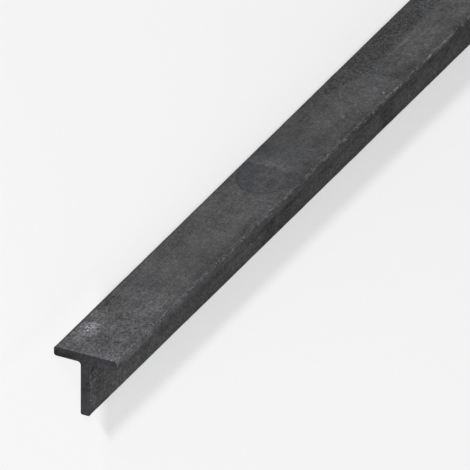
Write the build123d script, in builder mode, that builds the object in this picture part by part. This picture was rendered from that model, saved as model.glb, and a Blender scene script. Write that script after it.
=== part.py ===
from build123d import *
import os
from math import acos, atan2, degrees, hypot

# A length of small hot-rolled steel tee bar with parallel faces, sawn square at both ends.
# A tee bar falls over when it is stood on its web, so it lies as it comes to rest on a floor:
# on the toe of its web and the inner corner of one toe of its flange.
# The length runs along Y and the height along Z. The flange's outer face looks up and to -X.
# The origin is on the floor, under the middle of the bar's bounding box.

bar_length = 1000.0
flange_width = 20.0
section_height = 20.0
flange_thickness = 3.0
web_thickness = 3.0
root_radius = 1.0
flange_toe_radius = 0.8
web_toe_radius = 0.6

# Two toe fillets share one thickness, so each takes less than half of it.
fillet_share = 0.45
flange_toe_fillet = min(flange_toe_radius, fillet_share * flange_thickness)
web_toe_fillet = min(web_toe_radius, fillet_share * web_thickness)

web_height = section_height - flange_thickness

# The floor is the common tangent of the web toe's arc and the flange toe's inner arc.
# It gives the angle from standing on the web to lying on the two toes.
arc_run = (flange_width / 2 - flange_toe_fillet) - (web_thickness / 2 - web_toe_fillet)
arc_rise = (web_height + flange_toe_fillet) - web_toe_fillet
arc_distance = hypot(arc_run, arc_rise)
lean_angle = degrees(
    acos((flange_toe_fillet - web_toe_fillet) / arc_distance) - atan2(arc_run, arc_rise)
)

# Half of the rolled section, from the web's toe round the flange, mirrored to the whole.
with BuildSketch() as tee_section:
    with BuildLine():
        FilletPolyline(
            (0, 0),
            (web_thickness / 2, 0),
            (web_thickness / 2, web_height),
            (flange_width / 2, web_height),
            (flange_width / 2, section_height),
            (0, section_height),
            radius=[web_toe_fillet, root_radius, flange_toe_fillet, flange_toe_fillet],
        )
        mirror(about=Plane.YZ)
    make_face()

# The plane of the section stands over the floor by as much as the leaning section reaches
# under its own origin, and is moved sideways until the leaning section is centred.
leaning_box = tee_section.sketch.rotate(Axis.Z, lean_angle).bounding_box()
section_plane = Plane(
    origin=(-leaning_box.center().X, 0, -leaning_box.min.Y),
    x_dir=(1, 0, 0),
    z_dir=(0, -1, 0),
)

with BuildPart() as tee_bar:
    with BuildSketch(section_plane):
        add(tee_section.sketch, rotation=lean_angle)
    extrude(amount=bar_length / 2, both=True)

tee_bar.part.label = "tee_bar"

os.makedirs("parts", exist_ok=True)
export_step(tee_bar.part, "parts/tee_bar.step")

steel_density = 7.85e-6
lying_box = tee_bar.part.bounding_box()
print(f"lean angle {lean_angle:.3f} degrees")
print(f"section area {tee_section.sketch.area:.2f} mm2")
print(f"mass {tee_bar.part.volume * steel_density:.3f} kg")
print(f"box from {lying_box.min} to {lying_box.max}")
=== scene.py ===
from math import acos, atan2, cos, hypot, pi, radians, sin

import bmesh
import bpy
from mathutils import Matrix, Vector


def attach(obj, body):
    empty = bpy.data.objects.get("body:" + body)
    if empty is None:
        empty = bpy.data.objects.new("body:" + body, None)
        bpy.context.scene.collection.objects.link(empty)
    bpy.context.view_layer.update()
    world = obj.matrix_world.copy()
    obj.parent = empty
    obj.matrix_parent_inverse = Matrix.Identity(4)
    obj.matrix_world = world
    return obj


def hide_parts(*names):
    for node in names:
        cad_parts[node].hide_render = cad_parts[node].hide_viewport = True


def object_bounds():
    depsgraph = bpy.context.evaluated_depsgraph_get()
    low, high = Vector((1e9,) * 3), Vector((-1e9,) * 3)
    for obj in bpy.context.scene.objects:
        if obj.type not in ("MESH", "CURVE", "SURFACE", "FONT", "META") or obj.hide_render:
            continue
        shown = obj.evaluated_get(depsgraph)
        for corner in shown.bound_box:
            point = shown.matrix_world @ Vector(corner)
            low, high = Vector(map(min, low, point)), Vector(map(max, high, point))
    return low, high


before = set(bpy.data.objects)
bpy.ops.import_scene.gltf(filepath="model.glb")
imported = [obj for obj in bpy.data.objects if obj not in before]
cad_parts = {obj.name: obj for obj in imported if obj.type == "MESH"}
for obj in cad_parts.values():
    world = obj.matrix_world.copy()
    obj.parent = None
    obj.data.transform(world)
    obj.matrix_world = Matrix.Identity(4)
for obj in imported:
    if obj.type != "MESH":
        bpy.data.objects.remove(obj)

cadLow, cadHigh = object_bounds()
mm = 0.001

# The bar as it would stand on its web: X across the flange, Y along the bar from its front end, Z up the web.
barSize = {
    "length": 1000.0,
    "flangeWidth": 20.0,
    "sectionHeight": 20.0,
    "flangeThickness": 3.0,
    "webThickness": 3.0,
    "rootRadius": 1.0,
    "flangeToeRadius": 0.8,
    "webToeRadius": 0.6,
}
webHeight = barSize["sectionHeight"] - barSize["flangeThickness"]

# The bar lies on the arc of its web toe and the inner arc of one flange toe.
halfWeb = barSize["webThickness"] / 2
halfFlange = barSize["flangeWidth"] / 2
arcRun = (halfFlange - barSize["flangeToeRadius"]) - (halfWeb - barSize["webToeRadius"])
arcRise = (webHeight + barSize["flangeToeRadius"]) - barSize["webToeRadius"]
radiusStep = barSize["flangeToeRadius"] - barSize["webToeRadius"]
lean = acos(radiusStep / hypot(arcRun, arcRise)) - atan2(arcRun, arcRise)
turned = Matrix.Rotation(-lean, 4, "Y")
toeArc = turned @ Vector((barSize["webToeRadius"] - halfWeb, 0, barSize["webToeRadius"]))
farArc = turned @ Vector((halfWeb - barSize["webToeRadius"], 0, barSize["webToeRadius"]))
barOrigin = Vector((
    cadHigh.x - (farArc.x + barSize["webToeRadius"]) * mm,
    cadLow.y,
    (barSize["webToeRadius"] - toeArc.z) * mm,
))
barToFloor = Matrix.Translation(barOrigin) @ turned
print(f"frame: the bar leans {lean * 180 / pi:.2f} degrees")


# camera: the photo is a parallel projection, and its view is given as seen by the standing bar
cameraView = {
    "azimuth": 27.52,  # degrees, from straight along the bar
    "elevation": 30.57,  # degrees
    "pixelsPerMm": 3.561,
    "photoSide": 470,  # pixels
    "webToePixel": (85.3, 415.5),  # where the middle of the front end's web toe is
    "distance": 900.0,  # mm
    "clipEnd": 20.0,  # m
}


def makeCamera():
    azimuth = radians(cameraView["azimuth"])
    elevation = radians(cameraView["elevation"])
    right = Vector((cos(azimuth), sin(azimuth), 0))
    back = Vector((cos(elevation) * sin(azimuth), -cos(elevation) * cos(azimuth), sin(elevation)))
    up = back.cross(right)
    middle = cameraView["photoSide"] / 2
    toeColumn, toeRow = cameraView["webToePixel"]
    scale = cameraView["pixelsPerMm"]
    place = right * (middle - toeColumn) / scale + up * (toeRow - middle) / scale
    place += back * cameraView["distance"]
    pose = Matrix((right, up, back)).transposed().to_4x4()
    pose.translation = place * mm
    bpy.ops.object.camera_add()
    camera = bpy.context.object
    camera.name = "photoCamera"
    camera.matrix_world = barToFloor @ pose
    camera.data.type = "ORTHO"
    camera.data.ortho_scale = cameraView["photoSide"] / scale * mm
    camera.data.clip_end = cameraView["clipEnd"]
    bpy.context.scene.camera = camera


makeCamera()
print("camera: parallel view of the front end")


def linear(hexColour):
    channels = [int(hexColour[k:k + 2], 16) / 255 for k in (1, 3, 5)]
    return [c / 12.92 if c <= 0.04045 else ((c + 0.055) / 1.055) ** 2.4 for c in channels] + [1]


def addNode(tree, kind, inputs=None, **settings):
    node = tree.nodes.new(kind)
    for name, value in settings.items():
        setattr(node, name, value)
    for socket, value in (inputs or {}).items():
        if isinstance(value, bpy.types.Node):
            value = next(output for output in value.outputs if output.enabled)
        if isinstance(value, bpy.types.NodeSocket):
            tree.links.new(value, node.inputs[socket])
        else:
            node.inputs[socket].default_value = value
    return node


def newMaterial(name):
    material = bpy.data.materials.new(name)
    material.use_nodes = True
    material.node_tree.nodes.clear()
    return material


# tee bar
barMesh = {
    "crossCell": 0.92,  # mm between the lines that run along the bar
    "firstCuts": 24,  # the length is cut twice, 25 and then 32 times
    "secondCuts": 31,
    "arcSegments": 4,
    "endArris": 0.08,  # mm, the sawn end's slightly blunt edge
    "sawLip": 0.24,  # mm, the rim that the saw marks leave free
    "sawPitch": 0.48,  # mm between saw marks
    "sawDepth": 0.02,  # mm
    "sawTilt": 6.0,  # degrees
    "besideRoot": 0.2,  # mm, how far beside and below the root fillets the sawn face is parted
    "belowRoot": 0.24,
    "spareMarks": 4,  # saw marks beyond the section's height, since they are tilted
    "onMark": 0.05,  # how near a corner is to a saw mark's line, as a share of the pitch
    "plainEnd": 1.2,  # mm at each end with no rolled relief
    "toeReach": 1.2,  # how far arris wear reaches from a toe, as a share of the toe's radius
    "toeUnder": 0.25,  # the part of that reach under the flange
    "reliefDetail": 2,
    "longEdge": 10.0,  # mm, longer edges along the bar are cut
    "samePlace": 0.02,  # mm, what is nearer than this counts as the same place
    "facing": 0.9,  # how squarely a face or an edge points along an axis
    "facingExactly": 0.99,
    "flatAngle": 1.0,  # degrees
    "smoothAngle": 35.0,  # degrees
}


def pick(piece, kind, test):
    bpy.ops.mesh.select_mode(type=kind)
    bpy.ops.mesh.select_all(action="DESELECT")
    form = bmesh.from_edit_mesh(piece.data)
    for item in {"VERT": form.verts, "EDGE": form.edges, "FACE": form.faces}[kind]:
        if test(item):
            item.select_set(True)
    form.select_flush_mode()
    bmesh.update_edit_mesh(piece.data)


def middleOf(edge):
    return (edge.verts[0].co + edge.verts[1].co) / 2


def runsAlong(edge):
    span = edge.verts[0].co - edge.verts[1].co
    return abs(span.y) > barMesh["facing"] * span.length


def near(a, b):
    return abs(a - b) < barMesh["samePlace"] * mm


def blockOutTee():
    length = barSize["length"] * mm
    height = barSize["sectionHeight"] * mm
    web = barSize["webThickness"] * mm
    bpy.ops.object.select_all(action="DESELECT")
    bpy.ops.mesh.primitive_cube_add(size=1, location=(0, length / 2, height / 2), scale=(web, length, height))
    piece = bpy.context.object
    piece.name = "teeBarRolled"
    bpy.ops.object.transform_apply(location=True, rotation=True, scale=True)
    bpy.ops.object.mode_set(mode="EDIT")
    bpy.ops.mesh.select_all(action="SELECT")
    bpy.ops.mesh.bisect(plane_co=(0, 0, webHeight * mm), plane_no=(0, 0, 1))
    reach = (barSize["flangeWidth"] - barSize["webThickness"]) / 2 * mm
    for side in (-1, 1):
        pick(piece, "FACE", lambda f: f.normal.x * side > barMesh["facing"]
             and f.calc_center_median().z > webHeight * mm)
        bpy.ops.mesh.extrude_region_move(TRANSFORM_OT_translate={"value": (side * reach, 0, 0)})
    bpy.ops.mesh.select_all(action="SELECT")
    bpy.ops.mesh.dissolve_limited(angle_limit=radians(barMesh["flatAngle"]))
    return piece


def roundCorners(piece):
    corners = (
        (halfWeb, webHeight, barSize["rootRadius"]),
        (halfFlange, webHeight, barSize["flangeToeRadius"]),
        (halfFlange, barSize["sectionHeight"], barSize["flangeToeRadius"]),
        (halfWeb, 0, barSize["webToeRadius"]),
    )
    for across, up, radius in corners:
        pick(piece, "EDGE", lambda e: runsAlong(e)
             and near(abs(middleOf(e).x), across * mm) and near(middleOf(e).z, up * mm))
        bpy.ops.mesh.bevel(offset=radius * mm, segments=barMesh["arcSegments"], profile=0.5, affect="EDGES")


def cutAcross(piece):
    # the ends are open meanwhile, so that no cut joins two sides of the tee across its inner corners
    pick(piece, "FACE", lambda f: abs(f.normal.y) > barMesh["facing"])
    bpy.ops.mesh.delete(type="ONLY_FACE")
    cell = barMesh["crossCell"] * mm
    form = bmesh.from_edit_mesh(piece.data)
    spans = sorted({round(e.calc_length(), 5) for e in form.edges if not runsAlong(e)})
    for span in spans:
        cuts = round(span / cell) - 1
        if cuts > 0:
            pick(piece, "EDGE", lambda e: not runsAlong(e) and near(e.calc_length(), span))
            bpy.ops.mesh.subdivide(number_cuts=cuts)
    for end in (0, barSize["length"] * mm):
        pick(piece, "EDGE", lambda e: e.is_boundary and near(middleOf(e).y, end))
        bpy.ops.mesh.edge_face_add()
    bpy.ops.mesh.select_all(action="SELECT")
    bpy.ops.mesh.normals_make_consistent(inside=False)


def sawEnds(piece):
    ends = (0, barSize["length"] * mm)
    pick(piece, "FACE", lambda f: abs(f.normal.y) > barMesh["facing"])
    bpy.ops.mesh.region_to_loop()
    bpy.ops.mesh.bevel(offset=barMesh["endArris"] * mm, segments=2, profile=0.5, affect="EDGES")

    def onEndPlane(face):
        atEnd = any(near(face.calc_center_median().y, end) for end in ends)
        return atEnd and abs(face.normal.y) > barMesh["facingExactly"]

    pick(piece, "FACE", onEndPlane)
    piece.active_material_index = 1
    bpy.ops.object.material_slot_assign()
    bpy.ops.mesh.inset(thickness=barMesh["sawLip"] * mm, use_even_offset=True)
    inner = [f.index for f in bmesh.from_edit_mesh(piece.data).faces if f.select]
    pick(piece, "FACE", lambda f: onEndPlane(f) and f.index not in inner)
    piece.active_material_index = 0
    bpy.ops.object.material_slot_assign()

    # the tee is first cut into parts with no inner corner that a saw mark could cross twice
    besideWeb = halfWeb + barSize["rootRadius"] + barMesh["besideRoot"]
    belowRoot = webHeight - barSize["rootRadius"] - barMesh["belowRoot"]
    partings = (
        ((-besideWeb, 0, 0), (1, 0, 0)),
        ((besideWeb, 0, 0), (1, 0, 0)),
        ((0, 0, belowRoot), (0, 0, 1)),
    )
    for cutAt, normal in partings:
        pick(piece, "FACE", lambda f: f.material_index == 1)
        bpy.ops.mesh.bisect(plane_co=Vector(cutAt) * mm, plane_no=normal)
    tilt = radians(barMesh["sawTilt"])
    across = Vector((sin(tilt), 0, cos(tilt)))
    pitch = barMesh["sawPitch"] * mm
    lowest = -halfWeb * sin(tilt) * mm - halfFlange * sin(tilt) * mm
    marks = int(barSize["sectionHeight"] / barMesh["sawPitch"]) + barMesh["spareMarks"]
    for mark in range(marks):
        pick(piece, "FACE", lambda f: f.material_index == 1)
        bpy.ops.mesh.bisect(plane_co=across * (lowest + mark * pitch), plane_no=across)
    for inward, end in ((1, ends[0]), (-1, ends[1])):
        def onGroove(vert):
            step = (across.dot(vert.co) - lowest) / pitch
            onMark = round(step) % 2 == 0 and abs(step - round(step)) < barMesh["onMark"]
            return near(vert.co.y, end) and onMark and all(f.material_index == 1 for f in vert.link_faces)
        pick(piece, "VERT", onGroove)
        bpy.ops.transform.translate(value=(0, inward * barMesh["sawDepth"] * mm, 0))
    pick(piece, "FACE", lambda f: abs(f.normal.y) > barMesh["facing"]
         and any(near(f.calc_center_median().y, end) for end in ends))
    piece.active_material_index = 1
    bpy.ops.object.material_slot_assign()


def cutAlong(piece):
    for cuts in (barMesh["firstCuts"], barMesh["secondCuts"]):
        pick(piece, "EDGE", lambda e: runsAlong(e) and e.calc_length() > barMesh["longEdge"] * mm)
        bpy.ops.mesh.subdivide(number_cuts=cuts)


# What rolling and handling leave on the faces: name, where, length in mm, height in mm,
# share of it that is taken away.
rolledRelief = (
    ("rollWaviness", "rolled", 22.4, 0.08, 0.5),
    ("scaleRelief", "rolled", 2.56, 0.056, 0.5),
    ("arrisWear", "arris", 4.8, 0.1, 1.0),
)


def markGroups(piece):
    length = barSize["length"] * mm
    plain = barMesh["plainEnd"] * mm
    toe = barMesh["toeReach"] * barSize["flangeToeRadius"] * mm

    def onArris(vert):
        under = webHeight * mm - toe * barMesh["toeUnder"]
        atFlange = halfFlange * mm - abs(vert.co.x) < toe and vert.co.z > under
        return atFlange or vert.co.z < toe

    for name, test in (("rolled", lambda v: True), ("arris", onArris)):
        group = piece.vertex_groups.new(name=name)
        pick(piece, "VERT", lambda v: plain < v.co.y < length - plain and test(v))
        piece.vertex_groups.active_index = group.index
        bpy.ops.object.vertex_group_assign()


def addRelief(piece):
    for name, group, size, height, takenAway in rolledRelief:
        texture = bpy.data.textures.new(name, type="CLOUDS")
        texture.noise_scale = size * mm
        texture.noise_depth = barMesh["reliefDetail"]
        modifier = piece.modifiers.new(name, "DISPLACE")
        modifier.texture = texture
        modifier.texture_coords = "LOCAL"
        modifier.vertex_group = group
        modifier.strength = height * mm
        modifier.mid_level = takenAway
        bpy.ops.object.modifier_apply(modifier=name)


def makeBar():
    piece = blockOutTee()
    for material in (makeMillScale(), makeSawnSteel()):
        piece.data.materials.append(material)
    roundCorners(piece)
    cutAcross(piece)
    sawEnds(piece)
    cutAlong(piece)
    markGroups(piece)
    bpy.ops.object.mode_set(mode="OBJECT")
    addRelief(piece)
    bpy.ops.object.shade_smooth_by_angle(angle=radians(barMesh["smoothAngle"]))
    piece.matrix_world = barToFloor
    bpy.ops.object.transform_apply(location=True, rotation=True, scale=True)
    return piece


# Hot-rolled mill scale on mild steel: the oxide skin that the bar gets while it cools after rolling.
# To the eye it is a dull dark grey, finely mottled, with a faint sheen and paler where it was rubbed.
# Its colour also carries painted light and shade: on the web's sides and along the arrises.
millScaleLook = {
    "dull": "#0a0a0b",
    "pale": "#5a5a5c",
    # painted light: a slightly warmer copy of the pale tone, for the web's sides that lie in the flange's
    # shadow
    "palestOnWeb": "#5b5b5a",
    "roughest": 0.75,
    "smoothest": 0.5,
    "specular": 0.35,
    "reliefDepth": 0.04,  # mm
    "contrast": 0.4,
    "slowContrast": 0.7,  # the mottling's own rise and fall along the bar
    "frontContrast": 0.5,
    "calmContrast": -0.25,
    "grainContrast": 3.8,
    "webGrain": 0.8,
    "bandGrain": 1.2,
    "furtherContrast": 0.3,
    "middleTone": 0.485,
    "lowestTone": 0.05,
    "lowestGrain": 0.2,
    "roughestTone": 0.2,  # the tones where the scale is roughest and smoothest
    "smoothestTone": 0.8,
    "stretchCore": 0.3,  # the share of a stretch's length that has its whole tone
    "markDepth": 1.2,  # mm, how far a mark reaches into the flange
}
noiseMiddle = 0.5  # Blender's noise runs from 0 to 1

# Patterns in the scale: name, size in mm (across, along, up), detail, roughness, share of the tone,
# share of the relief.
# The real grain is finer than a tenth of a millimetre, and is drawn as coarse as it needs to show.
scalePatterns = (
    ("clouds", (10.4, 16.0, 10.4), 2.0, 0.5, 0.75, 0.0),
    ("blotches", (3.6, 4.4, 3.6), 4.0, 0.8, 1.2, 0.5),
    ("rollLines", (0.72, 56.0, 0.72), 1.0, 0.6, 0.4, 0.2),
    ("grain", (0.6, 0.72, 0.6), 2.0, 0.75, 0.0, 0.7),
    ("slow", (160.0, 60.0, 160.0), 1.0, 0.6, 0.0, 0.0),
    ("ragged", (1.76, 1.76, 1.76), 5.0, 0.7, 0.0, 0.0),  # frays the outlines of the marks
    ("streaks", (0.72, 1.2, 0.72), 3.0, 0.7, 0.0, 0.0),  # breaks up the paler marks
    ("rubbing", (0.96, 2.56, 0.96), 5.0, 0.75, 0.0, 0.0),
    ("specks", (0.56, 0.88, 0.56), 3.0, 0.6, 0.0, 0.0),
    ("dampness", (17.6, 20.8, 17.6), 3.0, 0.5, 0.0, 0.0),
    ("scuffing", (5.6, 8.8, 5.6), 5.0, 0.7, 0.0, 0.0),
)

# Where a face, an arris or a mark is: name, operation and terms, which are other names or mm.
scaleSums = (
    ("sideways", "ABSOLUTE", "across"),
    ("aboveMiddle", "SUBTRACT", "up", webHeight + barSize["flangeThickness"] / 2),
    ("offMiddle", "ABSOLUTE", "aboveMiddle"),
    ("toFlangeToe", "ADD", "sideways", "offMiddle"),  # also large low on the web
    ("toWebToe", "SUBTRACT", "sideways", "up"),
    ("toBackEnd", "SUBTRACT", barSize["length"], "along"),
    ("toEnd", "MINIMUM", "along", "toBackEnd"),
    # the line across the flange is 5 degrees off square
    ("toLine", "MULTIPLY_ADD", "across", -0.0875, "along"),
    # the dark band's edge crosses from the flange's left side in 27 mm, and is frayed
    ("bandRise", "MULTIPLY_ADD", "along", 0.3, -44.0),
    ("bandEdge", "MINIMUM", "bandRise", 8.0),
    ("bandFrayed", "MULTIPLY_ADD", "ragged", 4.8, "bandEdge"),
    ("toBand", "SUBTRACT", "bandFrayed", "across"),
    # the round mark's outline
    ("ringFrayed", "MULTIPLY_ADD", "ragged", 0.05, "ringReach"),
    ("ringOffRim", "SUBTRACT", "ringFrayed", 0.97),
    ("ringRimGap", "ABSOLUTE", "ringOffRim"),
)

# Masks: name, what is measured, where it starts and ends, the mask at its start and its end.
# A mask that ends in another one stays within it.
scaleMasks = (
    ("front", "along", 46.4, 17.6, 0.0, 1.0),
    ("onWeb", "up", webHeight + 0.16, webHeight - 0.48, 0.0, 1.0),
    # painted light and shade across the web: paler in its middle, darker towards its toe and under the flange
    ("lowWeb", "up", 5.52, 4.32, 0.0, 1.0),
    ("webMiddleLight", "up", 0.8, 2.0, 0.0, "lowWeb"),
    ("webFootShade", "up", 3.2, 1.2, 0.0, 1.0),
    ("calmEnds", "along", 108.0, 89.6, 0.0, 1.0),
    ("calm", "along", 44.0, 60.0, 0.0, "calmEnds"),
    ("calmFarEnds", "along", 173.6, 165.6, 0.0, 1.0),
    ("calmFar", "along", 126.4, 137.6, 0.0, "calmFarEnds"),
    # painted shade on the web's upper part, under the flange
    ("webTopShade", "up", 11.2, 15.2, 0.0, "onWeb"),
    ("pastFront", "along", 8.0, 17.6, 0.0, "onWeb"),
    ("webFront", "along", 80.0, 36.0, 0.0, "pastFront"),
    ("webStripLow", "up", 11.2, 7.2, 0.0, "onWeb"),
    ("webStrip", "along", 5.2, 3.6, 0.0, "webStripLow"),
    ("far", "along", 164.0, 188.0, 0.0, 1.0),
    ("farWeb", "along", 164.0, 188.0, 0.0, "onWeb"),
    ("onFace", "up", 19.44, 19.84, 0.0, 1.0),
    ("frontRim", "along", 12.8, 4.8, 0.0, "onFace"),
    ("pastLineFades", "toLine", 193.6, 177.6, 0.0, "onFace"),
    ("pastLine", "toLine", 174.4, 175.1, 0.0, "pastLineFades"),
    ("rightMargin", "across", 6.0, 8.64, 0.0, "onFace"),
    ("leftMargin", "across", -2.4, -8.0, 0.0, "onFace"),
    ("rightHalf", "across", 1.0, 5.0, 0.0, "onFace"),
    ("leftHalf", "across", -1.0, -5.0, 0.0, "onFace"),
    ("toeFar", "along", 32.0, 176.0, 0.0, 1.0),
    ("toeSide", "across", 9.6, 9.84, 0.0, "toeFar"),
    ("toeFace", "across", 9.6, 9.84, 0.0, 1.0),
    ("bandFades", "along", 344.0, 304.0, 0.0, 0.95),
    ("bandOnFace", "up", 19.44, 19.84, 0.0, "bandFades"),
    ("band", "toBand", 9.2, 10.32, 0.0, "bandOnFace"),
    ("ringSide", "along", 115.8, 115.4, 0.0, "onFace"),
    ("ringDisc", "ringFrayed", 1.0, 0.965, 0.0, "ringSide"),
    ("ringLeft", "across", -0.8, -4.8, 0.0, "ringDisc"),
    ("ringRight", "across", 4.4, 6.4, 0.0, "ringDisc"),
    ("ringRimFades", "across", 7.2, 3.2, 0.0, "ringSide"),
    ("ringRim", "ringRimGap", 0.03, 0.0, 0.0, "ringRimFades"),
    ("further", "along", 228.0, 248.0, 0.0, 1.0),
    ("damp", "dampness", 0.06, 0.1, 0.0, "further"),
    ("scuffs", "scuffing", 0.11, 0.2, 0.0, "further"),
    ("scuffStreaks", "streaks", -0.06, 0.1, 0.0, "scuffs"),
    ("upperToe", "up", 18.4, 18.88, 0.0, 1.0),
    ("onToe", "toFlangeToe", halfFlange + 0.4, halfFlange + 0.8, 0.0, 1.0),
    # painted shade along the arcs of the web's toe
    ("webToeShade", "toWebToe", halfWeb - 0.68, halfWeb - 0.4, 0.0, 1.0),
    ("upperArris", "toFlangeToe", halfFlange + 0.4, halfFlange + 0.8, 0.0, "upperToe"),
    ("rightArris", "across", 8.8, 9.12, 0.0, "upperArris"),
    # painted shade along the left arris, where its rounding turns from the light
    ("leftArrisShade", "across", -8.64, -9.12, 0.0, "upperArris"),
    # painted shade on the lower arc of the flange's toes, under the flange
    ("lowerArrisShade", "up", 18.72, 18.24, 0.0, "onToe"),
    # the right arris: partly rubbed bare, partly painted highlights where its rounding catches the light
    ("rubbedHighlitArris", "rubbing", -0.05, 0.08, 0.0, "rightArris"),
    ("arrisGlints", "specks", 0.08, 0.15, 0.0, "rightArris"),
    ("besideArris", "across", 7.2, 9.2, 0.0, "onFace"),
    ("arrisSpecks", "specks", 0.1, 0.18, 0.0, "besideArris"),
    ("lastEdge", "toEnd", 0.4, 0.12, 0.0, 1.0),
    ("bareEdge", "rubbing", -0.1, 0.1, 0.0, "lastEdge"),
    ("fineStreaks", "streaks", -0.06, 0.1, 0.1, 1.0),
)

# Tone of a mask's place, above or below the rest of the scale.
scaleLifts = (
    ("front", 0.065),
    ("frontRim", 0.09),
    ("far", -0.05),
    ("pastLine", -0.07),
    ("onWeb", 0.07),  # painted light: the web's sides, which lie in the flange's shadow, are painted a shade paler than the flange
    # painted light: the web's middle is paler than its top and its foot
    ("webMiddleLight", 0.11),
    ("farWeb", 0.045),
    ("webFront", 0.27),
    ("webStrip", 0.2),  # a paler strip by the front end
    # painted shade: the web is darker by its toe and under the flange
    ("webFootShade", -0.13),
    ("webTopShade", -0.1),
    ("onToe", -0.01),  # the flange's toes, and the web's lower part
    ("toeSide", -0.21),  # the flange's toe gets duller along the bar
    ("rightMargin", -0.1),
    ("leftMargin", -0.05),
)

# Paler and darker stretches along the bar, where the scale is a little thinner or thicker:
# middle and half length in mm, the mask that holds them, tone.
scaleStretches = (
    (8.0, 8.0, "toeFace", 0.3),
    (24.0, 8.0, "onWeb", -0.12),
    (36.0, 20.0, "rightHalf", 0.09),
    (50.0, 16.0, "onWeb", -0.08),
    (66.0, 12.0, "rightHalf", -0.1),
    (91.0, 12.0, "onWeb", 0.13),
    (91.0, 12.0, "rightHalf", 0.06),
    (108.0, 6.0, "onWeb", -0.2),
    (122.0, 10.0, "onWeb", -0.13),
    (140.0, 32.0, "leftHalf", -0.12),
    (146.0, 16.0, "rightHalf", -0.15),
    (160.0, 26.0, "toeFace", -0.12),
    (180.0, 5.0, "onWeb", -0.22),
    (190.0, 9.0, "rightHalf", 0.13),
)

markTones = {
    "rubbed": "#828288",
    "bright": "#a2a2aa",
    # pale tone of the right arris and beside it: wear and painted highlight
    "wornAndHighlit": "#5e5e60",
    "pale": "#5d5d5f",
    "violet": "#66656d",
    "blue": "#36393d",
    "damp": "#33353a",
    "soaked": "#25272d",
    "dull": "#2d2d2e",
    "band": "#2c2c2d",
    # painted highlight on the right arris, with some bare wear
    "glint": "#8c8c8a",
    # the darkest tone: for flakes of scale that came off and dark marks, and for painted shade along the
    # arrises and the web's toe
    "pitAndShade": "#1d1d1e",
}

# Marks on the flange's outer face: tone, (across, along) in mm, half sizes (across, along) in mm,
# turn in degrees, softness, strength, raggedness.
flangeMarks = (
    ("rubbed", (-5.44, 12.0), (2.56, 4.16), -8, 0.6, 0.6, 3.0),  # the scuff near the front end
    ("bright", (-6.0, 13.44), (1.84, 3.2), 0, 0.6, 0.7, 2.5),
    ("pale", (2.4, 16.0), (8.0, 20.8), 0, 0.9, 0.3, 2.0),
    ("violet", (8.72, 1.76), (1.6, 2.08), 0, 0.6, 0.7, 1.0),
    ("blue", (-2.88, 44.8), (2.56, 5.6), 29, 0.8, 0.4, 1.0),
    ("pale", (1.12, 116.4), (4.4, 0.8), -11, 0.6, 0.6, 0.6),  # the streak past the round mark
    ("damp", (-1.2, 125.2), (7.2, 6.0), 0, 0.4, 0.55, 0.6),
    ("damp", (-6.4, 119.2), (2.8, 4.4), 0, 0.5, 0.5, 0.6),
    ("dull", (7.6, 120.0), (2.8, 11.2), 0, 0.9, 0.35, 2.5),
    ("dull", (7.6, 111.8), (1.44, 1.76), 0, 0.8, 0.4, 1.5),
    ("pale", (8.32, 127.4), (0.48, 0.96), 0, 0.5, 0.9, 1.0),
    ("pitAndShade", (8.8, 128.8), (0.48, 0.72), 0, 0.5, 0.7, 1.0),
    ("dull", (-7.12, 123.2), (0.72, 1.2), 0, 0.8, 0.6, 1.5),
    ("dull", (-8.0, 148.4), (1.2, 2.4), 0, 0.8, 0.6, 2.0),
    ("pitAndShade", (-3.28, 153.0), (0.32, 0.96), 0, 0.6, 0.5, 1.0),
    ("pitAndShade", (6.24, 99.76), (0.32, 0.8), 0, 0.6, 0.5, 1.0),
    ("rubbed", (3.6, 149.6), (0.4, 0.72), 0, 0.5, 0.6, 1.0),
    ("rubbed", (3.6, 157.2), (0.4, 0.8), 0, 0.5, 0.7, 1.0),
    ("rubbed", (3.52, 163.6), (0.32, 0.72), 0, 0.5, 0.6, 1.0),
    ("rubbed", (7.6, 166.8), (0.4, 0.64), 0, 0.5, 0.5, 1.0),
    ("pale", (8.8, 136.8), (0.48, 1.28), 0, 0.5, 0.8, 1.0),
    ("pale", (6.88, 112.0), (0.4, 0.72), 0, 0.5, 0.8, 1.0),
    ("pitAndShade", (0.0, 175.1), (8.4, 0.48), 5, 0.6, 0.45, 0.4),  # the line across the bar
    ("pale", (2.4, 173.4), (6.8, 1.28), 5, 0.9, 0.45, 0.8),
    ("dull", (6.0, 178.0), (3.2, 3.6), 0, 0.8, 0.3, 1.5),
    ("blue", (-0.8, 176.4), (1.76, 4.0), 0, 0.7, 0.6, 1.0),
    ("pitAndShade", (-2.8, 182.9), (0.56, 1.12), 0, 0.5, 0.8, 1.0),
    ("pale", (-0.32, 194.4), (0.64, 7.2), 0, 0.9, 0.5, 2.0),
    ("blue", (-3.84, 213.6), (2.08, 4.4), 20, 0.6, 0.6, 1.0),
    ("glint", (9.6, 128.4), (0.28, 2.08), 0, 0.5, 0.7, 1.0),  # bright stretches of the right arris, partly worn bare and partly painted highlight
    ("glint", (9.6, 170.4), (0.24, 1.28), 0, 0.5, 0.8, 1.0),
    ("glint", (9.6, 190.4), (0.24, 1.44), 0, 0.5, 0.7, 1.0),
    ("glint", (9.52, 201.6), (0.24, 3.6), 0, 0.5, 0.6, 1.5),
    ("glint", (9.6, 217.6), (0.24, 1.28), 0, 0.5, 0.5, 1.0),
)

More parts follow.
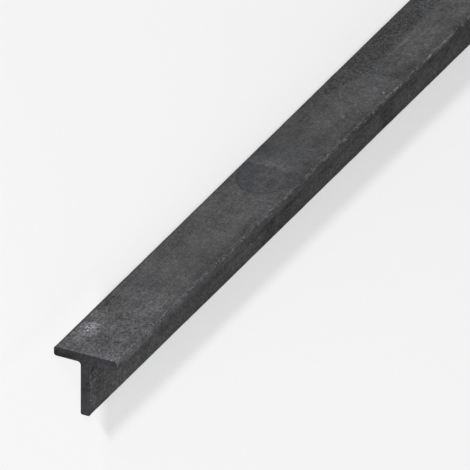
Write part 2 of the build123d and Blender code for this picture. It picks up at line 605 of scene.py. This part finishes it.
# Over the marks, in this order: mask, tone, strength.
scaleLayers = (
    ("ringDisc", "damp", 0.38),
    ("ringLeft", "soaked", 0.6),
    ("ringRight", "soaked", 0.3),
    ("ringRim", "pitAndShade", 0.7),
    ("damp", "damp", 0.5),
    ("scuffStreaks", "rubbed", 0.75),
    # painted shade: the left arris is darkened where its rounding turns from the light, while the right one
    # is painted pale
    ("leftArrisShade", "pitAndShade", 0.9),
    # painted shade on the lower arc of the flange's toes
    ("lowerArrisShade", "pitAndShade", 0.5),
    # painted shade along the arcs of the web's toe
    ("webToeShade", "pitAndShade", 0.5),
    # wear and painted highlight: the right arris and the face beside it are painted pale, partly rubbed bare
    # and partly standing in for light on the rounded edge
    ("rubbedHighlitArris", "wornAndHighlit", 0.62),
    ("arrisSpecks", "wornAndHighlit", 0.6),
    ("arrisGlints", "glint", 0.28),
    ("bareEdge", "rubbed", 0.5),
    ("pits", "pitAndShade", 0.45),
)

roundMark = {  # a dark round mark with a rim, cut off straight on its far side
    "middle": (-0.24, 115.6),  # mm across and along, on its straight side
    "halfSize": (9.6, 15.36, 16.0),  # mm across, along and up
}

pitLook = {  # flakes of scale that have come off
    "spacing": 2.72,  # mm
    "size": 0.14,  # a share of the spacing
    "core": 0.4,  # the share of the size that is fully dark
    "raggedness": 0.25,
    "depth": -0.6,  # a share of the relief
}


def barCoordinates(tree):
    # Object coordinates turned back to the bar's own, in mm
    return addNode(
        tree, "ShaderNodeMapping",
        {
            "Vector": addNode(tree, "ShaderNodeTexCoord").outputs["Object"],
            "Location": barToFloor.inverted().translation / mm,
            "Rotation": (0, lean, 0),
            "Scale": (1 / mm, 1 / mm, 1 / mm),
        },
    )


def makeMillScale():
    look = millScaleLook
    material = newMaterial("hotRolledMillScale")
    tree = material.node_tree
    place = barCoordinates(tree)
    axes = addNode(tree, "ShaderNodeSeparateXYZ", {0: place})
    found = {"across": axes.outputs["X"], "along": axes.outputs["Y"], "up": axes.outputs["Z"]}

    for name, size, detail, roughness, *_ in scalePatterns:
        scaled = addNode(tree, "ShaderNodeMapping", {"Vector": place, "Scale": [1 / part for part in size]})
        pattern = addNode(
            tree, "ShaderNodeTexNoise",
            {"Vector": scaled, "Scale": 1.0, "Detail": detail, "Roughness": roughness},
        )
        found[name] = addNode(
            tree, "ShaderNodeMath", {0: pattern, 1: noiseMiddle}, operation="SUBTRACT", label=name
        )
    ringPlace = addNode(
        tree, "ShaderNodeMapping",
        {
            "Vector": place,
            "Location": (*roundMark["middle"], barSize["sectionHeight"]),
            "Scale": roundMark["halfSize"],
        },
        vector_type="TEXTURE",
    )
    found["ringReach"] = addNode(tree, "ShaderNodeVectorMath", {0: ringPlace}, operation="LENGTH")
    for name, operation, *terms in scaleSums:
        inputs = {slot: found.get(term, term) for slot, term in enumerate(terms)}
        found[name] = addNode(tree, "ShaderNodeMath", inputs, operation=operation, label=name)
    for name, measured, start, end, low, high in scaleMasks:
        found[name] = addNode(
            tree, "ShaderNodeMapRange",
            {
                "Value": found[measured], "From Min": start, "From Max": end,
                "To Min": low, "To Max": found.get(high, high),
            },
            interpolation_type="SMOOTHSTEP", label=name,
        )
    cellPlace = addNode(tree, "ShaderNodeMapping", {"Vector": place, "Scale": [1 / pitLook["spacing"]] * 3})
    cells = addNode(tree, "ShaderNodeTexVoronoi", {"Vector": cellPlace, "Scale": 1.0, "Randomness": 1.0})
    cells = addNode(
        tree, "ShaderNodeMath",
        {0: found["ragged"], 1: pitLook["raggedness"], 2: cells}, operation="MULTIPLY_ADD",
    )
    found["pits"] = addNode(
        tree, "ShaderNodeMapRange",
        {"Value": cells, "From Min": pitLook["size"], "From Max": pitLook["size"] * pitLook["core"]},
        interpolation_type="SMOOTHSTEP", label="pits",
    )

    # how strong the mottling is in each place, and the tone and relief that it gives
    contrast = look["contrast"]
    for name, share in (("slow", "slowContrast"), ("front", "frontContrast")):
        contrast = addNode(
            tree, "ShaderNodeMath", {0: found[name], 1: look[share], 2: contrast}, operation="MULTIPLY_ADD"
        )
    contrast = addNode(tree, "ShaderNodeMath", {0: contrast, 1: look["slowContrast"] / 2}, operation="ADD")
    toneContrast = contrast
    placeContrasts = (("calm", "calmContrast"), ("calmFar", "calmContrast"), ("further", "furtherContrast"))
    for name, share in placeContrasts:
        toneContrast = addNode(
            tree, "ShaderNodeMath",
            {0: found[name], 1: look[share], 2: toneContrast}, operation="MULTIPLY_ADD",
        )
    tone, relief = 0.0, 0.0
    for name, *_, toneShare, reliefShare in scalePatterns:
        if toneShare:
            tone = addNode(
                tree, "ShaderNodeMath", {0: found[name], 1: toneShare, 2: tone}, operation="MULTIPLY_ADD"
            )
        if reliefShare:
            relief = addNode(
                tree, "ShaderNodeMath", {0: found[name], 1: reliefShare, 2: relief}, operation="MULTIPLY_ADD"
            )
    relief = addNode(
        tree, "ShaderNodeMath", {0: found["pits"], 1: pitLook["depth"], 2: relief}, operation="MULTIPLY_ADD"
    )
    tone = addNode(
        tree, "ShaderNodeMath", {0: tone, 1: toneContrast, 2: look["middleTone"]}, operation="MULTIPLY_ADD"
    )
    for name, lift in scaleLifts:
        tone = addNode(tree, "ShaderNodeMath", {0: found[name], 1: lift, 2: tone}, operation="MULTIPLY_ADD")
    for middle, half, held, lift in scaleStretches:
        offset = addNode(tree, "ShaderNodeMath", {0: found["along"], 1: middle}, operation="SUBTRACT")
        offset = addNode(tree, "ShaderNodeMath", {0: offset}, operation="ABSOLUTE")
        stretch = addNode(
            tree, "ShaderNodeMapRange",
            {
                "Value": offset, "From Min": half, "From Max": half * look["stretchCore"],
                "To Max": found[held],
            },
            interpolation_type="SMOOTHSTEP",
        )
        tone = addNode(tree, "ShaderNodeMath", {0: stretch, 1: lift, 2: tone}, operation="MULTIPLY_ADD")
    tone = addNode(tree, "ShaderNodeMath", {0: tone, 1: look["lowestTone"]}, operation="MAXIMUM")
    # painted light: the web's sides, in the flange's shadow, take their own pale tone
    pale = addNode(
        tree, "ShaderNodeMix",
        {"Factor": found["onWeb"], "A": linear(look["pale"]), "B": linear(look["palestOnWeb"])},
        data_type="RGBA",
    )
    colour = addNode(
        tree, "ShaderNodeMix", {"Factor": tone, "A": linear(look["dull"]), "B": pale},
        data_type="RGBA", clamp_factor=False,
    )

    # the dark band and the marks on the flange's outer face, then the layers over them
    layers = [(found["band"], "band")]
    for toneName, (x, y), (halfWidth, halfLength), turn, softness, strength, raggedness in flangeMarks:
        local = addNode(
            tree, "ShaderNodeMapping",
            {
                "Vector": place,
                "Location": (x, y, barSize["sectionHeight"]),
                "Rotation": (0, 0, radians(turn)),
                "Scale": (halfWidth, halfLength, look["markDepth"]),
            },
            vector_type="TEXTURE",
        )
        reach = addNode(tree, "ShaderNodeVectorMath", {0: local}, operation="LENGTH")
        reach = addNode(
            tree, "ShaderNodeMath", {0: found["ragged"], 1: raggedness, 2: reach}, operation="MULTIPLY_ADD"
        )
        mask = addNode(
            tree, "ShaderNodeMapRange",
            {"Value": reach, "From Min": 1 + softness, "From Max": 1 - softness, "To Max": strength},
            interpolation_type="SMOOTHSTEP",
        )
        if toneName in ("rubbed", "bright", "pale", "glint"):
            mask = addNode(tree, "ShaderNodeMath", {0: mask, 1: found["fineStreaks"]}, operation="MULTIPLY")
        layers.append((mask, toneName))
    for name, toneName, strength in scaleLayers:
        mask = addNode(tree, "ShaderNodeMath", {0: found[name], 1: strength}, operation="MULTIPLY")
        layers.append((mask, toneName))
    for mask, toneName in layers:
        colour = addNode(
            tree, "ShaderNodeMix",
            {"Factor": mask, "A": colour, "B": linear(markTones[toneName])}, data_type="RGBA",
        )

    # the fine grain goes over everything
    for name, share in (("onWeb", "webGrain"), ("band", "bandGrain")):
        contrast = addNode(
            tree, "ShaderNodeMath", {0: found[name], 1: look[share], 2: contrast}, operation="MULTIPLY_ADD"
        )
    grain = addNode(tree, "ShaderNodeMath", {0: found["grain"], 1: contrast}, operation="MULTIPLY")
    grain = addNode(
        tree, "ShaderNodeMath", {0: grain, 1: look["grainContrast"], 2: 1.0}, operation="MULTIPLY_ADD"
    )
    grain = addNode(tree, "ShaderNodeMath", {0: grain, 1: look["lowestGrain"]}, operation="MAXIMUM")
    colour = addNode(tree, "ShaderNodeVectorMath", {0: colour, "Scale": grain}, operation="SCALE")

    bump = addNode(
        tree, "ShaderNodeBump", {"Height": relief, "Strength": 1.0, "Distance": look["reliefDepth"] * mm}
    )
    roughness = addNode(
        tree, "ShaderNodeMapRange",
        {
            "Value": tone, "From Min": look["roughestTone"], "From Max": look["smoothestTone"],
            "To Min": look["roughest"], "To Max": look["smoothest"],
        },
    )
    shader = addNode(
        tree, "ShaderNodeBsdfPrincipled",
        {
            "Base Color": colour, "Roughness": roughness,
            "Specular IOR Level": look["specular"], "Normal": bump,
        },
    )
    addNode(tree, "ShaderNodeOutputMaterial", {"Surface": shader})
    return material


# Band-sawn mild steel with a thin dull oxide on the cut: dark violet grey, flat, with faint lines
# where the blade's teeth passed.
sawnSteelLook = {
    "dull": "#09090c",
    "pale": "#434249",
    "middleTone": 0.43,
    "roughness": 0.6,
    "specular": 0.35,
    "reliefDepth": 0.032,  # mm
}

# Patterns on the cut: name, size in mm (along the saw marks, along the bar, across the marks), detail,
# roughness, share of the tone, share of the relief.
sawnPatterns = (
    ("lines", (12.8, 0.8, 0.56), 3.0, 0.6, 1.3, 1.0),
    ("spots", (1.12, 1.12, 1.12), 4.0, 0.65, 1.6, 1.0),
    ("slow", (6.4, 6.4, 6.4), 2.0, 0.6, 1.2, 0.0),
)

# Darker towards the flange's left end and paler towards the web's toe: axis, from, to, tone there.
sawnShifts = (("X", -1.6, -8.8, -0.2), ("Z", 7.2, 0.8, 0.14), ("Z", 16.0, 18.4, -0.09))


def makeSawnSteel():
    look = sawnSteelLook
    material = newMaterial("bandSawnSteel")
    tree = material.node_tree
    place = barCoordinates(tree)
    axes = addNode(tree, "ShaderNodeSeparateXYZ", {0: place})
    turnedPlace = addNode(
        tree, "ShaderNodeMapping", {"Vector": place, "Rotation": (0, radians(barMesh["sawTilt"]), 0)}
    )
    tone, relief = look["middleTone"], 0.0
    for name, size, detail, roughness, toneShare, reliefShare in sawnPatterns:
        scaled = addNode(
            tree, "ShaderNodeMapping", {"Vector": turnedPlace, "Scale": [1 / part for part in size]}
        )
        pattern = addNode(
            tree, "ShaderNodeTexNoise",
            {"Vector": scaled, "Scale": 1.0, "Detail": detail, "Roughness": roughness},
        )
        centred = addNode(
            tree, "ShaderNodeMath", {0: pattern, 1: noiseMiddle}, operation="SUBTRACT", label=name
        )
        tone = addNode(tree, "ShaderNodeMath", {0: centred, 1: toneShare, 2: tone}, operation="MULTIPLY_ADD")
        relief = addNode(
            tree, "ShaderNodeMath", {0: centred, 1: reliefShare, 2: relief}, operation="MULTIPLY_ADD"
        )
    for axis, start, end, shift in sawnShifts:
        share = addNode(
            tree, "ShaderNodeMapRange",
            {"Value": axes.outputs[axis], "From Min": start, "From Max": end, "To Max": shift},
        )
        tone = addNode(tree, "ShaderNodeMath", {0: tone, 1: share}, operation="ADD")
    colour = addNode(
        tree, "ShaderNodeMix", {"Factor": tone, "A": linear(look["dull"]), "B": linear(look["pale"])},
        data_type="RGBA", clamp_factor=False,
    )
    bump = addNode(
        tree, "ShaderNodeBump", {"Height": relief, "Strength": 1.0, "Distance": look["reliefDepth"] * mm}
    )
    shader = addNode(
        tree, "ShaderNodeBsdfPrincipled",
        {
            "Base Color": colour, "Roughness": look["roughness"],
            "Specular IOR Level": look["specular"], "Normal": bump,
        },
    )
    addNode(tree, "ShaderNodeOutputMaterial", {"Surface": shader})
    return material


bar = makeBar()
print(f"bar: {len(bar.data.polygons)} faces")


# floor and light
floorLook = {
    "size": 12.0,  # m
    "thickness": 0.2,  # m; a low parallel view starts inside the slab and sees its plain underside
    "paint": "#fcfcfc",
    "nearGlow": "#ffffff",
    "farGlow": "#f3f3f3",
    "glowTurn": -35.4,  # degrees, how far the tones' change is turned from along the bar
    "glowAlong": (-0.4575, -0.2095),  # m that way, from the near tone to the far one
    "lift": 0.5,  # how much of the floor's tone is plain, so that the shadow stays as pale as in the photo
    "leftLift": 0.6,  # the same on the side where the photo shows no shadow
    "leftFrom": (-0.0096, -0.024),  # m across, from the one to the other
    "frontTurn": 40.0,  # degrees, how far the shadow's front edge is turned
    "frontFrom": (-0.3629, -0.371),  # m that way, from the full shadow to the pale floor under the front end
    "frontSide": (-0.022, -0.01),  # m across, where that pale floor begins and is whole
    "frontLift": 0.95,
    "frontGlow": "#f7f7f7",  # as pale as the lit floor beside it
    "plainBelow": (-0.001, -0.002),  # m up, from the floor's top to where the slab is plain
}
lampLook = {
    "keyTowards": (28.5, 9.2, -23.0),  # the way the key light travels
    "keyStrength": 0.55,  # 1 renders a colour as it is written
    "keyColour": "#fffdfa",
    "keyAngle": 5.0,  # degrees, soft edge of the shadow
    "fillTowards": (0.2787, 0.7636, -0.5825),  # along the camera's view
    "fillStrength": 0.2,
    "fillAngle": 40.0,
    "skyStrength": 0.45,
    "skyColour": "#fafbff",
}


def makeFloor():
    bpy.ops.object.select_all(action="DESELECT")
    size, thickness = floorLook["size"], floorLook["thickness"]
    bpy.ops.mesh.primitive_cube_add(size=1, location=(0, 0, -thickness / 2), scale=(size, size, thickness))
    bpy.ops.object.transform_apply(location=True, rotation=True, scale=True)
    floor = bpy.context.object
    floor.name = "paleFloor"
    material = newMaterial("paintedPaleFloor")
    tree = material.node_tree
    rays = addNode(tree, "ShaderNodeLightPath")
    seen = rays.outputs["Is Camera Ray"]
    for kind in ("Is Glossy Ray", "Is Transmission Ray"):
        seen = addNode(tree, "ShaderNodeMath", {0: seen, 1: rays.outputs[kind]}, operation="MAXIMUM")
    place = addNode(tree, "ShaderNodeTexCoord").outputs["Object"]
    axes = addNode(tree, "ShaderNodeSeparateXYZ", {0: place})
    turnedAlong = {}
    for name in ("glow", "front"):
        turnedPlace = addNode(
            tree, "ShaderNodeMapping",
            {"Vector": place, "Rotation": (0, 0, radians(floorLook[name + "Turn"]))},
        )
        turnedAlong[name] = addNode(tree, "ShaderNodeSeparateXYZ", {0: turnedPlace}).outputs["Y"]
    sideStart, sideEnd = floorLook["frontSide"]
    frontSide = addNode(
        tree, "ShaderNodeMapRange", {"Value": axes.outputs["X"], "From Min": sideStart, "From Max": sideEnd}
    )
    frontStart, frontEnd = floorLook["frontFrom"]
    front = addNode(
        tree, "ShaderNodeMapRange",
        {"Value": turnedAlong["front"], "From Min": frontStart, "From Max": frontEnd, "To Max": frontSide},
    )
    lift = floorLook["lift"]
    for measured, start, end, high in (
        (front, 0.0, 1.0, floorLook["frontLift"]),
        (axes.outputs["X"], *floorLook["leftFrom"], floorLook["leftLift"]),
        (axes.outputs["Z"], *floorLook["plainBelow"], 1.0),
    ):
        higher = addNode(
            tree, "ShaderNodeMapRange",
            {
                "Value": measured, "From Min": start, "From Max": end,
                "To Min": floorLook["lift"], "To Max": high,
            },
            interpolation_type="SMOOTHSTEP",
        )
        lift = addNode(tree, "ShaderNodeMath", {0: lift, 1: higher}, operation="MAXIMUM")
    share = addNode(tree, "ShaderNodeMath", {0: seen, 1: lift}, operation="MULTIPLY")
    glowStart, glowEnd = floorLook["glowAlong"]
    distance = addNode(
        tree, "ShaderNodeMapRange",
        {"Value": turnedAlong["glow"], "From Min": glowStart, "From Max": glowEnd},
    )
    tone = addNode(
        tree, "ShaderNodeMix",
        {"Factor": distance, "A": linear(floorLook["nearGlow"]), "B": linear(floorLook["farGlow"])},
        data_type="RGBA",
    )
    tone = addNode(
        tree, "ShaderNodeMix",
        {"Factor": front, "A": tone, "B": linear(floorLook["frontGlow"])}, data_type="RGBA",
    )
    paint = addNode(tree, "ShaderNodeBsdfDiffuse", {"Color": linear(floorLook["paint"])})
    glow = addNode(tree, "ShaderNodeEmission", {"Color": tone})
    mixed = addNode(tree, "ShaderNodeMixShader", {0: share, 1: paint, 2: glow})
    addNode(tree, "ShaderNodeOutputMaterial", {"Surface": mixed})
    floor.data.materials.append(material)


def makeLight():
    for name in ("key", "fill"):
        bpy.ops.object.light_add(type="SUN")
        lamp = bpy.context.object
        lamp.name = name + "Lamp"
        lamp.rotation_euler = Vector(lampLook[name + "Towards"]).to_track_quat("-Z", "Y").to_euler()
        lamp.data.energy = lampLook[name + "Strength"] * pi
        lamp.data.angle = radians(lampLook[name + "Angle"])
    bpy.data.objects["keyLamp"].data.color = linear(lampLook["keyColour"])[:3]
    world = bpy.data.worlds.new("paleRoom")
    bpy.context.scene.world = world
    world.use_nodes = True
    tree = world.node_tree
    tree.nodes.clear()
    sky = addNode(
        tree, "ShaderNodeBackground",
        {"Color": linear(lampLook["skyColour"]), "Strength": lampLook["skyStrength"]},
    )
    addNode(tree, "ShaderNodeOutputWorld", {"Surface": sky})


makeFloor()
makeLight()
bpy.context.scene.view_settings.view_transform = "Standard"
print("stage: floor, lamps and sky")

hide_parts("tee_bar")
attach(bar, "root")
